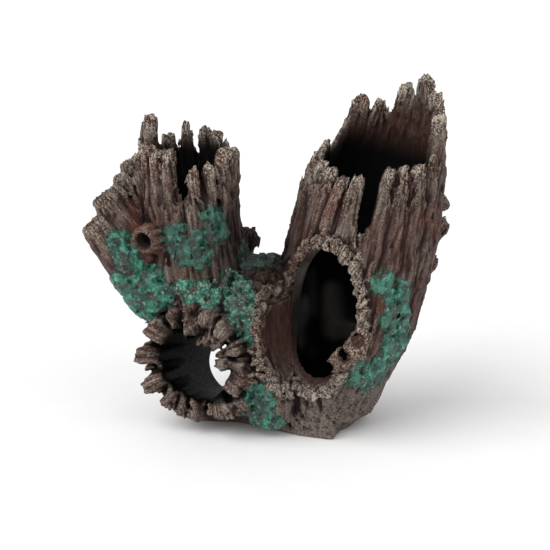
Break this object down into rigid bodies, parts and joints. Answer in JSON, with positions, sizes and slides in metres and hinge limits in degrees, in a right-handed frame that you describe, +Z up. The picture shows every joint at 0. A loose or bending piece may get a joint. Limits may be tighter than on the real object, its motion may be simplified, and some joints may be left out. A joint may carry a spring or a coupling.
{
  "type": "resin cave ornament",
  "caption": "Hollow driftwood ornament for an aquarium: two broken trunks in a V over a cave log, with a round and an oval swim-through mouth.",
  "frame": {"origin": "on the surface the ornament stands on, at the underside of the base slab, under the middle of the ornament's outline", "axes": "+X to the viewer's right when facing the two cave mouths, +Y to the back, +Z up"},
  "size_m": [0.146, 0.0972, 0.155],
  "materials": {
    "bark_resin": "satin painted polyresin, brown-mauve bark with dark grooves and dry-brushed cream ridges",
    "crust_resin": "matt painted polyresin, cream coral-like crust with brown pits",
    "moss_resin": "satin painted polyresin, teal green moss relief with pale flecks",
    "ground_resin": "matt painted polyresin, dark brown ground"
  },
  "bodies": {
    "root": {"base_slab": "ground_resin", "right_trunk": "bark_resin", "cave_log": "bark_resin", "left_trunk": "bark_resin", "saddle_root": "bark_resin", "front_root": "bark_resin", "left_branch_lower": "bark_resin", "left_branch_upper": "bark_resin", "shoulder_splinter_1": "bark_resin", "shoulder_splinter_2": "bark_resin", "shoulder_splinter_3": "bark_resin", "rear_stub": "bark_resin", "right_stub_upper": "bark_resin", "right_stub_middle": "bark_resin", "right_stub_lower": "bark_resin", "knot_collar": "bark_resin", "mouth_collar": "crust_resin", "shelf_fungus": "crust_resin", "moss_branch": "moss_resin", "moss_left_flank": "moss_resin", "moss_left_front": "moss_resin", "moss_left_high": "moss_resin", "moss_centre_left": "moss_resin", "moss_centre": "moss_resin", "moss_saddle": "moss_resin", "moss_saddle_top": "moss_resin", "moss_right_flank": "moss_resin", "moss_right_high": "moss_resin", "moss_right_low": "moss_resin", "moss_root": "moss_resin", "moss_base": "moss_resin"}
  },
  "joints": []
}
